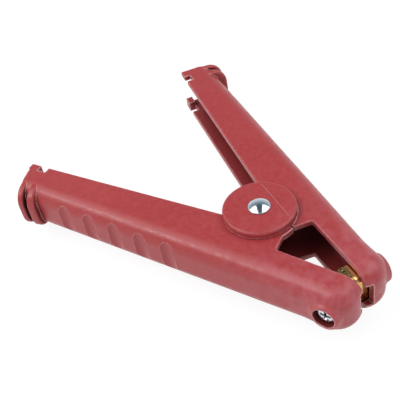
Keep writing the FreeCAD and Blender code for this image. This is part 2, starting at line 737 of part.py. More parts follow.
subparts = []
for side in ("back", "front"):
    lean = size(side + "_end_lean")
    half = [
        make_lever(side + "_lever", lean),
        make_contact(side + "_contact"),
        make_screw(side + "_screw"),
        make_nut(side + "_nut"),
        make_ring(side + "_lock_washer", "Sizes.lock_washer_radius",
                  "Sizes.screw_radius + Sizes.screw_hole_gap", "Sizes.lock_washer_thick",
                  boss_foot + jaw_out * nut_level, jaw_out),
    ]
    if side == "front":
        for piece in half:
            turn_over(piece)
    subparts += half

subparts.append(make_rivet())
subparts.append(make_ring(
    "rivet_washer", "Sizes.rivet_washer_radius", "Sizes.rivet_radius + Sizes.rivet_fit",
    "Sizes.rivet_washer_thick",
    FreeCAD.Vector(0, 0, -half_thick - size("disc_rise") - size("rivet_washer_thick")), Z_AXIS))
subparts.append(make_ring(
    "pivot_sleeve", "Sizes.rivet_radius + Sizes.rivet_fit + Sizes.sleeve_wall",
    "Sizes.rivet_radius + Sizes.rivet_fit",
    "Sizes.body_thick - 2 * Sizes.wall - 2 * Sizes.sleeve_end_gap",
    FreeCAD.Vector(0, 0, -half_gap + size("sleeve_end_gap")), Z_AXIS))
subparts.append(make_spring())
doc.recompute()

for item in doc.Objects:
    if "Invalid" in item.State or "Error" in item.State:
        raise RuntimeError("%s failed: %s" % (item.Name, item.State))
os.makedirs("parts", exist_ok=True)
for part in subparts:
    shape = part.Shape
    if shape.isNull() or not shape.isValid():
        raise RuntimeError("%s has no valid shape" % part.Label)
    shape.exportStep("parts/%s.step" % part.Label)
    box = shape.BoundBox
    print("%s: %d solid, %.1f mm3, x %.1f %.1f y %.1f %.1f z %.1f %.1f" % (
        part.Label, len(shape.Solids), shape.Volume, box.XMin, box.XMax, box.YMin, box.YMax,
        box.ZMin, box.ZMax))
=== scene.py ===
"""Finishes, fine hardware and studio for the insulated spring clip. Metres, in the row frame."""

import logging
import math
from dataclasses import dataclass, field
from enum import Enum

import bmesh
import bpy
from mathutils import Matrix, Vector


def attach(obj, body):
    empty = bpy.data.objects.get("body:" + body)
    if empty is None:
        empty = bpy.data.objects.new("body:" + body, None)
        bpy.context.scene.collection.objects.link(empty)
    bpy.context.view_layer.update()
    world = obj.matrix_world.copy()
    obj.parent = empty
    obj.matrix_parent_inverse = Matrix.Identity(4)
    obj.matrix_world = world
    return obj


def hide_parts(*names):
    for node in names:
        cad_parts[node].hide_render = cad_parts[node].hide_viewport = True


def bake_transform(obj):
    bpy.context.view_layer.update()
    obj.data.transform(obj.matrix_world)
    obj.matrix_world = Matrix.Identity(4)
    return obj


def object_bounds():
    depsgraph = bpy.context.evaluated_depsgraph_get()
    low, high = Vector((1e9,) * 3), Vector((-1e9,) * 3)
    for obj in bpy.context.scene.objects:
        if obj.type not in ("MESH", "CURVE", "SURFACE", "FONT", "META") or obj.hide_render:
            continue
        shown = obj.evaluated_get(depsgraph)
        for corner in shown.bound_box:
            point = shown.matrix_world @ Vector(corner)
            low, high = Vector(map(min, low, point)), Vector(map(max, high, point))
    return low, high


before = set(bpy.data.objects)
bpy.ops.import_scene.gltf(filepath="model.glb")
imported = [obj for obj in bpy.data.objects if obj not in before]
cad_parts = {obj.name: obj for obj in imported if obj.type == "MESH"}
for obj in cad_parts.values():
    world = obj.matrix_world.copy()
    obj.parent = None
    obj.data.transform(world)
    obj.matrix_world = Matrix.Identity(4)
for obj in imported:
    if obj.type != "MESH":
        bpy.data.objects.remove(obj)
CAD_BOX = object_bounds()

MM = 0.001
EDGE_ANGLE = math.radians(38.0)      # edges that turn more than this are rounded
SHARP_ANGLE = math.radians(44.0)     # and those still sharper than this are shaded sharp
LOG = logging.getLogger("clip")
SocketValue = float | int | bool | tuple | bpy.types.NodeSocket | bpy.types.Material


class Cut(Enum):
    """What a cut leaves of a piece."""

    OUTSIDE = "DIFFERENCE"
    SHARED = "INTERSECT"


class StepSide(Enum):
    """The two sides of the low step that a mould's parting leaves, painted as a highlight on the
    lit side and a shadow on the dark side: across it, and how strong.
    """

    LIT = (1.0, 0.22)
    DARK = (-1.0, 0.5)


class Half(Enum):
    """The two halves of the clip. The front one is the back one turned over about X."""

    BACK = "back"
    FRONT = "front"

    @property
    def body(self) -> str:
        """Name of the body that the half's pieces move with."""
        return f"{self.value}_half"

    def node(self, part: str) -> str:
        """Name of this half's node for a part, such as its lever."""
        return f"{self.value}_{part}"

    def turned(self) -> Matrix:
        """Turn that takes a place on the back half to the same place on this half."""
        return Matrix.Rotation(math.pi if self is Half.FRONT else 0.0, 4, "X")


def linear(hex_code: str) -> tuple[float, float, float, float]:
    """Turn an sRGB hex colour into a linear one.

    Args:
        hex_code: colour such as "#B2484A".

    Returns:
        Red, green, blue and an alpha of 1, in linear light.
    """
    parts = [int(hex_code[start:start + 2], 16) / 255 for start in (1, 3, 5)]
    red, green, blue = (p / 12.92 if p <= 0.04045 else ((p + 0.055) / 1.055) ** 2.4 for p in parts)
    return red, green, blue, 1.0


def add_node(tree: bpy.types.NodeTree, kind: str, settings: dict[str, object] | None = None,
             inputs: dict[str | int, SocketValue] | None = None) -> bpy.types.Node:
    """Add one node with its settings, values and links.

    Args:
        tree: shader or geometry tree that takes the node.
        kind: type name of the node.
        settings: properties of the node by name.
        inputs: value, or socket to link from, for each input by name or place.

    Returns:
        The new node.
    """
    node = tree.nodes.new(kind)
    for name, value in (settings or {}).items():
        setattr(node, name, value)
    for key, value in (inputs or {}).items():
        if isinstance(value, bpy.types.NodeSocket):
            tree.links.new(value, node.inputs[key])
        else:
            node.inputs[key].default_value = value
    return node


def per_metre(size_mm: float) -> float:
    """Scale of a texture in object coordinates whose features are size_mm across."""
    return 1.0 / (size_mm * MM)


def blank_material(name: str) -> tuple[bpy.types.Material, bpy.types.NodeTree]:
    """Make a node material with nothing in it yet.

    Args:
        name: name of the material.

    Returns:
        The material and its tree.
    """
    material = bpy.data.materials.new(name)
    material.use_nodes = True
    material.node_tree.nodes.clear()
    return material, material.node_tree


def finish_material(tree: bpy.types.NodeTree, shader: bpy.types.NodeSocket) -> None:
    """Link a shader to the material's output."""
    add_node(tree, "ShaderNodeOutputMaterial", inputs={"Surface": shader})


def settle(piece: bpy.types.Object) -> None:
    """Make the result of a piece's modifiers its own mesh, and take the modifiers off.

    Args:
        piece: object with live modifiers.
    """
    graph = bpy.context.evaluated_depsgraph_get()
    before, after = piece.data, bpy.data.meshes.new_from_object(piece.evaluated_get(graph))
    piece.modifiers.clear()
    piece.data = after
    bpy.data.meshes.remove(before)


def new_piece(name: str, mesh: bpy.types.Mesh) -> bpy.types.Object:
    """Make an object at the origin and put it in the scene.

    Args:
        name: name of the object.
        mesh: its shape.

    Returns:
        The new object.
    """
    piece = bpy.data.objects.new(name, mesh)
    bpy.context.scene.collection.objects.link(piece)
    return piece


def turn_profile(name: str, profile: list[tuple[float, float]], steps: int = 64,
                 ring: bool = False) -> bpy.types.Object:
    """Turn a profile about Z.

    Args:
        name: name of the new object.
        profile: radius and height of each point in millimetres, going up outside.
        steps: sides of the turned shape.
        ring: whether the profile closes on itself, instead of on the axis.

    Returns:
        A closed shape at the origin.
    """
    shape = bmesh.new()
    rows: list[list[bmesh.types.BMVert]] = []
    for radius, height in profile:
        turns = [math.tau * step / steps for step in range(steps if radius else 1)]
        rows.append([shape.verts.new((radius * MM * math.cos(turn), radius * MM * math.sin(turn),
                                      height * MM)) for turn in turns])
    pairs = list(zip(rows, rows[1:] + rows[:1])) if ring else list(zip(rows, rows[1:]))
    for low, high in pairs:
        for step in range(steps):
            after = (step + 1) % steps
            corners = [low[step % len(low)], low[after % len(low)],
                       high[after % len(high)], high[step % len(high)]]
            shape.faces.new(list(dict.fromkeys(corners)))
    bmesh.ops.recalc_face_normals(shape, faces=shape.faces)
    mesh = bpy.data.meshes.new(name)
    shape.to_mesh(mesh)
    shape.free()
    return new_piece(name, mesh)


def prism(name: str, low: list[tuple[float, float]], high: list[tuple[float, float]],
          bottom: float, top: float) -> bpy.types.Object:
    """Join two outlines of as many points into a closed prism or frustum.

    Args:
        name: name of the new object.
        low: X and Y of the lower outline in millimetres, anticlockwise from above.
        high: the same for the upper outline.
        bottom: height of the lower outline in millimetres.
        top: height of the upper outline in millimetres.

    Returns:
        A closed shape at the origin.
    """
    count = len(low)
    points = [(x * MM, y * MM, z * MM)
              for outline, z in ((low, bottom), (high, top)) for x, y in outline]
    sides = [(step, (step + 1) % count, count + (step + 1) % count, count + step)
             for step in range(count)]
    caps = [tuple(reversed(range(count))), tuple(range(count, 2 * count))]
    mesh = bpy.data.meshes.new(name)
    mesh.from_pydata(points, [], sides + caps)
    return new_piece(name, mesh)


def combine(piece: bpy.types.Object, tool: bpy.types.Object, left: Cut) -> None:
    """Cut a piece with a tool. The tool is used up.

    Args:
        piece: object that is cut.
        tool: closed shape that cuts it.
        left: what stays of the piece.
    """
    modifier = piece.modifiers.new("cut", "BOOLEAN")
    modifier.object, modifier.operation, modifier.solver = tool, left.value, "EXACT"
    settle(piece)
    bpy.data.objects.remove(tool)


def soften(piece: bpy.types.Object, width_mm: float, steps: int = 2) -> None:
    """Round a piece's sharp edges and shade the rest smooth.

    Args:
        piece: object to round.
        width_mm: width of the rounding in millimetres.
        steps: faces across it.
    """
    modifier = piece.modifiers.new("edges", "BEVEL")
    modifier.width, modifier.segments = width_mm * MM, steps
    modifier.limit_method, modifier.angle_limit = "ANGLE", EDGE_ANGLE
    settle(piece)
    piece.data.shade_smooth()
    piece.data.set_sharp_from_angle(angle=SHARP_ANGLE)


def follow_tree(name: str, sizes: dict[str, float]) -> tuple[
        bpy.types.NodeTree, bpy.types.Node, dict[str, str]]:
    """Start a geometry tree with a named input for each size.

    Args:
        name: name of the tree.
        sizes: value of each named input.

    Returns:
        The tree, its input node, and the identifier of each input.
    """
    tree = bpy.data.node_groups.new(name, "GeometryNodeTree")
    tree.interface.new_socket(name="Geometry", in_out="INPUT", socket_type="NodeSocketGeometry")
    tree.interface.new_socket(name="Geometry", in_out="OUTPUT", socket_type="NodeSocketGeometry")
    names = {}
    for label in sizes:
        socket = tree.interface.new_socket(name=label, in_out="INPUT",
                                           socket_type="NodeSocketFloat")
        names[label] = socket.identifier
    return tree, add_node(tree, "NodeGroupInput"), names


def grow(piece: bpy.types.Object, tree: bpy.types.NodeTree, names: dict[str, str],
         sizes: dict[str, float], shape: bpy.types.NodeSocket,
         finish: bpy.types.Material) -> None:
    """End a geometry tree, run it on a piece and keep the result as the piece's mesh.

    Args:
        piece: object that takes the shape.
        tree: the tree to end.
        names: identifier of each input.
        sizes: value of each input.
        shape: the tree's shape so far.
        finish: material of the shape.
    """
    real = add_node(tree, "GeometryNodeRealizeInstances", inputs={"Geometry": shape})
    dressed = add_node(tree, "GeometryNodeSetMaterial", inputs={
        "Geometry": real.outputs[0], "Material": finish})
    add_node(tree, "NodeGroupOutput", inputs={0: dressed.outputs[0]})
    modifier = piece.modifiers.new(tree.name, "NODES")
    modifier.node_group = tree
    for label, value in sizes.items():
        modifier[names[label]] = value
    settle(piece)


def stand_for(piece: bpy.types.Object, finish: bpy.types.Material, node: str) -> None:
    """Dress a piece that already has its body, and put it in place of a node.

    Args:
        piece: finished shape, in its place in the row frame.
        finish: material that it takes.
        node: node that it stands for.
    """
    piece.data.materials.clear()
    piece.data.materials.append(finish)
    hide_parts(node)
    LOG.info("built %s, %d faces", piece.name, len(piece.data.polygons))


@dataclass(frozen=True)
class MouldedNylon:
    """Red nylon out of a spark-eroded mould: satin, softly mottled, with painted shade inside,
    rubbed edges paler by wear and a painted highlight, and scuffs with a painted sheen on the
    noses.
    """

    name: str = "moulded_red_nylon"
    colour: str = "#A43132"
    pale: str = "#AD3B3D"        # the other end of its slight drift
    worn_highlight: str = "#F7C6C2"        # on rubbed edges: wear with a painted highlight, also the painted highlight on the parting step's lit side
    scuffed_sheen: str = "#D48C98"     # chalky scuffs with a painted sheen, where the noses rub against things
    shaded: str = "#780B0B"      # inside the open side, where only red light bounces
    deep: str = "#100404"        # in hollows that no light reaches
    ior: float = 1.53
    smooth: float = 0.33
    rough: float = 0.46
    inner_rough: float = 0.85    # inside, where the mould's core leaves a dull face
    flow_mm: float = 26.0        # slow drift of colour along the flow of the melt
    mottle_mm: float = 1.6       # blotches in the highlight
    grain_mm: float = 0.5        # eroded grain, drawn coarser than the real 0.1 mm so that it shows
    grain_depth_mm: float = 0.014
    mottle_depth_mm: float = 0.021
    rounding_mm: float = 0.3     # moulded edges
    edge_mm: float = 1.0         # width of a rubbed edge and its painted highlight
    edge_share: float = 0.9
    hollow_mm: float = 22.0      # reach of the shade inside the mouldings
    scuff_sheen_mm: float = 3.6
    scuff_sheen_start_mm: float = -50.0           # the scuffs and painted sheen grow from here to the jaws
    scuff_sheen_share: float = 0.28
    witness_start_mm: tuple[float, float] = (-53.4, 9.2)    # line left by the mould on each disc, drawn as a painted highlight and painted shadow
    witness_end_mm: tuple[float, float] = (-33.5, 3.5)
    witness_mm: float = 0.28
    disc_level_mm: float = 12.9  # just under the face of a disc

    def build(self) -> bpy.types.Material:
        """Make the material.

        Returns:
            The moulded nylon.
        """
        material, tree = blank_material(self.name)
        place = add_node(tree, "ShaderNodeTexCoord").outputs["Object"]
        flow = self.noise(tree, place, self.flow_mm, 2.0)
        mottle = self.noise(tree, place, self.mottle_mm, 3.0)
        grain = self.noise(tree, place, self.grain_mm, 3.0)
        drift = add_node(tree, "ShaderNodeMapRange", inputs={
            "Value": flow, "From Min": 0.3, "From Max": 0.7, "To Min": 0.0, "To Max": 0.5})
        speckle = add_node(tree, "ShaderNodeMapRange", inputs={
            "Value": mottle, "From Min": 0.42, "From Max": 0.64, "To Min": 0.0, "To Max": 0.5})
        both = add_node(tree, "ShaderNodeMath", {"operation": "ADD"},
                        {0: drift.outputs[0], 1: speckle.outputs[0]})
        plain = add_node(tree, "ShaderNodeMix", {"data_type": "RGBA"}, {
            "Factor": both.outputs[0], 6: linear(self.colour), 7: linear(self.pale)})
        hollow = self.hollowness(tree)
        inner = add_node(tree, "ShaderNodeMapRange", inputs={
            "Value": hollow, "From Max": 0.5, "To Max": 1.0})
        inmost = add_node(tree, "ShaderNodeMapRange", inputs={
            "Value": hollow, "From Min": 0.5, "To Min": 0.0})
        # Painted shade inside (shaded, deep), painted highlight and shadow on the parting step,
        # painted highlight with wear on edges, painted sheen with scuffs on the noses
        layers = (
            (inner.outputs[0], self.shaded), (inmost.outputs[0], self.deep),
            (self.witness_highlight_shadow(tree, place, StepSide.LIT), self.worn_highlight),
            (self.witness_highlight_shadow(tree, place, StepSide.DARK), self.shaded),
            (self.rubbed_edge_highlight(tree, mottle), self.worn_highlight),
            (self.scuffs_and_sheen(tree, place, hollow), self.scuffed_sheen))
        coloured = plain
        for share, tone in layers:
            coloured = add_node(tree, "ShaderNodeMix", {"data_type": "RGBA"}, {
                "Factor": share, 6: coloured.outputs[2], 7: linear(tone)})
        satin = add_node(tree, "ShaderNodeMapRange", inputs={
            "Value": mottle, "From Min": 0.42, "From Max": 0.6,
            "To Min": self.smooth, "To Max": self.rough})
        roughness = add_node(tree, "ShaderNodeMix", {"data_type": "FLOAT"}, {
            "Factor": inner.outputs[0], 2: satin.outputs[0], 3: self.inner_rough})
        shader = add_node(tree, "ShaderNodeBsdfPrincipled", inputs={
            "Base Color": coloured.outputs[2], "Roughness": roughness.outputs[0],
            "IOR": self.ior, "Normal": self.relief(tree, mottle, grain)})
        finish_material(tree, shader.outputs[0])
        return material

    def noise(self, tree: bpy.types.NodeTree, place: bpy.types.NodeSocket, size_mm: float,
              detail: float) -> bpy.types.NodeSocket:
        """Noise over the surface.

        Args:
            tree: the material's tree.
            place: object coordinates.
            size_mm: size of its blotches.
            detail: octaves of finer noise in it.

        Returns:
            A share from 0 to 1, mostly near 0.5.
        """
        return add_node(tree, "ShaderNodeTexNoise", inputs={
            "Vector": place, "Scale": per_metre(size_mm), "Detail": detail,
            "Roughness": 0.55}).outputs[0]

    def hollowness(self, tree: bpy.types.NodeTree) -> bpy.types.NodeSocket:
        """Share of shade: high on walls that face other walls close by.

        Args:
            tree: the material's tree.

        Returns:
            A share from 0 to 1.
        """
        open_share = add_node(tree, "ShaderNodeAmbientOcclusion",
                              {"samples": 24, "only_local": True},
                              {"Distance": self.hollow_mm * MM}).outputs["AO"]
        return add_node(tree, "ShaderNodeMapRange", inputs={
            "Value": open_share, "From Min": 0.12, "From Max": 0.76,
            "To Min": 1.0, "To Max": 0.0}).outputs[0]

    def scuffs_and_sheen(self, tree: bpy.types.NodeTree, place: bpy.types.NodeSocket,
               hollow: bpy.types.NodeSocket) -> bpy.types.NodeSocket:
        """Share of the chalky scuffs and painted sheen, in soft patches that thicken towards the
        noses.

        Args:
            tree: the material's tree.
            place: object coordinates.
            hollow: share of shade, which keeps the patches off the inside.

        Returns:
            A share from 0 to 1.
        """
        along = add_node(tree, "ShaderNodeSeparateXYZ", inputs={0: place}).outputs["X"]
        near = add_node(tree, "ShaderNodeMapRange", inputs={
            "Value": along, "From Min": self.scuff_sheen_start_mm * MM, "From Max": 0.0,
            "To Min": 0.0, "To Max": self.scuff_sheen_share})
        patch = add_node(tree, "ShaderNodeMapRange", inputs={
            "Value": self.noise(tree, place, self.scuff_sheen_mm, 4.0),
            "From Min": 0.32, "From Max": 0.75})
        outside = add_node(tree, "ShaderNodeMapRange", inputs={
            "Value": hollow, "From Max": 0.3, "To Min": 1.0, "To Max": 0.0})
        spots = add_node(tree, "ShaderNodeMath", {"operation": "MULTIPLY"},
                         {0: near.outputs[0], 1: patch.outputs[0]})
        return add_node(tree, "ShaderNodeMath", {"operation": "MULTIPLY"},
                        {0: spots.outputs[0], 1: outside.outputs[0]}).outputs[0]

    def witness_highlight_shadow(self, tree: bpy.types.NodeTree, place: bpy.types.NodeSocket,
                side: StepSide) -> bpy.types.NodeSocket:
        """Share of a painted highlight (lit side) and painted shadow (dark side) along the mould's
        parting on a pivot disc's face.

        Args:
            tree: the material's tree.
            place: object coordinates.
            side: side of the step that the hairline is on.

        Returns:
            A share from 0 to 1.
        """
        way_across, strength = side.value
        start, end = (Vector((*point, 0.0)) * MM
                      for point in (self.witness_start_mm, self.witness_end_mm))
        along = (end - start).normalized()
        across = Vector((-along.y, along.x, 0.0))
        axes = add_node(tree, "ShaderNodeSeparateXYZ", inputs={0: place})
        face = add_node(tree, "ShaderNodeMath", {"operation": "SIGN"}, {0: axes.outputs["Z"]})
        mirrored = add_node(tree, "ShaderNodeMath", {"operation": "MULTIPLY"}, {
            0: axes.outputs["Y"], 1: face.outputs[0]})
        flat = add_node(tree, "ShaderNodeCombineXYZ", inputs={
            "X": axes.outputs["X"], "Y": mirrored.outputs[0]})
        gap = add_node(tree, "ShaderNodeVectorMath", {"operation": "SUBTRACT"}, {
            0: flat.outputs[0], 1: start + across * (way_across * 0.5 * self.witness_mm * MM)})
        offset, reach = (add_node(tree, "ShaderNodeVectorMath", {"operation": "DOT_PRODUCT"}, {
            0: gap.outputs[0], 1: way}).outputs["Value"] for way in (across, along))
        level = add_node(tree, "ShaderNodeMath", {"operation": "ABSOLUTE"}, {0: axes.outputs["Z"]})
        half = 0.5 * (end - start).length
        on_line = (
            ("COMPARE", offset, 0.0, 0.5 * self.witness_mm * MM),
            ("COMPARE", reach, half, half),
            ("GREATER_THAN", level.outputs[0], self.disc_level_mm * MM, 0.0),
        )
        share = strength
        for kind, value, mark, tolerance in on_line:
            test = add_node(tree, "ShaderNodeMath", {"operation": kind},
                            {0: value, 1: mark, 2: tolerance})
            share = add_node(tree, "ShaderNodeMath", {"operation": "MULTIPLY"},
                             {0: test.outputs[0], 1: share}).outputs[0]
        return share

    def rubbed_edge_highlight(self, tree: bpy.types.NodeTree,
                    mottle: bpy.types.NodeSocket) -> bpy.types.NodeSocket:
        """Share of the worn colour, wear with a painted highlight: high where the surface turns
        within an edge's width.

        Args:
            tree: the material's tree.
            mottle: noise that breaks the line up.

        Returns:
            A share from 0 to 1.
        """
        rounded = add_node(tree, "ShaderNodeBevel", {"samples": 6}, {"Radius": self.edge_mm * MM})
        flat = add_node(tree, "ShaderNodeNewGeometry")
        likeness = add_node(tree, "ShaderNodeVectorMath", {"operation": "DOT_PRODUCT"},
                            {0: rounded.outputs[0], 1: flat.outputs["Normal"]})
        turn = add_node(tree, "ShaderNodeMapRange", inputs={
            "Value": likeness.outputs["Value"], "From Min": 0.985, "From Max": 0.86,
            "To Min": 0.0, "To Max": self.edge_share})
        broken = add_node(tree, "ShaderNodeMapRange", inputs={
            "Value": mottle, "From Min": 0.3, "From Max": 0.6, "To Min": 0.2, "To Max": 1.0})
        return add_node(tree, "ShaderNodeMath", {"operation": "MULTIPLY", "use_clamp": True},
                        {0: turn.outputs[0], 1: broken.outputs[0]}).outputs[0]

    def relief(self, tree: bpy.types.NodeTree, mottle: bpy.types.NodeSocket,
               grain: bpy.types.NodeSocket) -> bpy.types.NodeSocket:
        """Normal of the rounded edges under the eroded grain.

        Args:
            tree: the material's tree.
            mottle: the blotches.
            grain: the fine grain.

        Returns:
            The bumped normal.
        """
        rounded = add_node(tree, "ShaderNodeBevel", {"samples": 6},
                           {"Radius": self.rounding_mm * MM})
        broad = add_node(tree, "ShaderNodeBump", inputs={
            "Strength": 0.8, "Distance": self.mottle_depth_mm * MM, "Height": mottle,
            "Normal": rounded.outputs[0]})
        return add_node(tree, "ShaderNodeBump", inputs={
            "Strength": 0.6, "Distance": self.grain_depth_mm * MM, "Height": grain,
            "Normal": broad.outputs[0]}).outputs[0]


@dataclass(frozen=True)
class WorkedMetal:
    """Metal with fine working marks: a tint that varies, small scratches and a soft grain, and
    painted shade in its corners and recesses.
    """

    name: str
    colour: str
    tarnish: str
    smooth: float
    rough: float
    mark_mm: float               # size of the marks, coarse enough to show
    stretch: tuple[float, float, float]     # below 1 along the marks
    depth_mm: float = 0.004
    tarnish_share: float = 0.35
    edge_mm: float = 0.12        # rounding of edges that the light catches
    corner_shade: str = "#1B1A1A"       # painted shade in corners and recesses
    corner_shade_mm: float = 1.6
    corner_shade_share: float = 0.95

    def build(self) -> bpy.types.Material:
        """Make the material.

        Returns:
            The metal.
        """
        material, tree = blank_material(self.name)
        place = add_node(tree, "ShaderNodeTexCoord").outputs["Object"]
        drawn = add_node(tree, "ShaderNodeMapping", inputs={"Vector": place, "Scale": self.stretch})
        marks = add_node(tree, "ShaderNodeTexNoise", inputs={
            "Vector": drawn.outputs[0], "Scale": per_metre(self.mark_mm), "Detail": 4.0})
        cloud = add_node(tree, "ShaderNodeTexNoise", inputs={
            "Vector": place, "Scale": per_metre(4 * self.mark_mm), "Detail": 3.0})
        share = add_node(tree, "ShaderNodeMapRange", inputs={
            "Value": cloud.outputs[0], "From Min": 0.42, "From Max": 0.68,
            "To Min": 0.0, "To Max": self.tarnish_share})
        tint = add_node(tree, "ShaderNodeMix", {"data_type": "RGBA"}, {
            "Factor": share.outputs[0], 6: linear(self.colour), 7: linear(self.tarnish)})
        # Painted shade: the colour darkens toward near-black where the piece's own corners and
        # recesses close in
        open_share = add_node(tree, "ShaderNodeAmbientOcclusion",
                              {"samples": 8, "only_local": True},
                              {"Distance": self.corner_shade_mm * MM}).outputs["AO"]
        shade_amount = add_node(tree, "ShaderNodeMapRange", inputs={
            "Value": open_share, "From Min": 0.35, "From Max": 0.85,
            "To Min": self.corner_shade_share, "To Max": 0.0})
        shaded_tint = add_node(tree, "ShaderNodeMix", {"data_type": "RGBA"}, {
            "Factor": shade_amount.outputs[0], 6: tint.outputs[2], 7: linear(self.corner_shade)})
        roughness = add_node(tree, "ShaderNodeMapRange", inputs={
            "Value": marks.outputs[0], "From Min": 0.3, "From Max": 0.7,
            "To Min": self.smooth, "To Max": self.rough})
        rounded = add_node(tree, "ShaderNodeBevel", {"samples": 4}, {"Radius": self.edge_mm * MM})
        bump = add_node(tree, "ShaderNodeBump", inputs={
            "Strength": 0.5, "Distance": self.depth_mm * MM, "Height": marks.outputs[0],
            "Normal": rounded.outputs[0]})
        shader = add_node(tree, "ShaderNodeBsdfPrincipled", inputs={
            "Base Color": shaded_tint.outputs[2], "Metallic": 1.0, "Roughness": roughness.outputs[0],
            "Normal": bump.outputs[0]})
        finish_material(tree, shader.outputs[0])
        return material


# Cold rolled brass strip, bright with a little brown tarnish, rolling marks along it and a light
# painted shade in its corners
ROLLED_BRASS = WorkedMetal("rolled_brass", "#E2B878", "#8E6A3C", 0.14, 0.24, 1.2,
                           (0.25, 1.0, 1.0), depth_mm=0.002, tarnish_share=0.4, corner_shade_share=0.3)
# Bright zinc on steel: bluish white, smooth, faintly cloudy
BRIGHT_ZINC = WorkedMetal("bright_zinc", "#D9DDE2", "#A9B0BA", 0.16, 0.30, 0.4, (1.0, 1.0, 1.0))
# Nickelled rivet, nearly a mirror, with light handling scratches
NICKELLED_RIVET = WorkedMetal("nickelled_rivet", "#DDE3E9", "#B4BCC6", 0.08, 0.2, 0.5,
                              (1.0, 0.3, 1.0))
# Oil tempered spring wire: dark, drawn
SPRING_WIRE = WorkedMetal("drawn_spring_wire", "#8D8F94", "#5C5D61", 0.25, 0.42, 0.3,
                          (1.0, 1.0, 1.0))


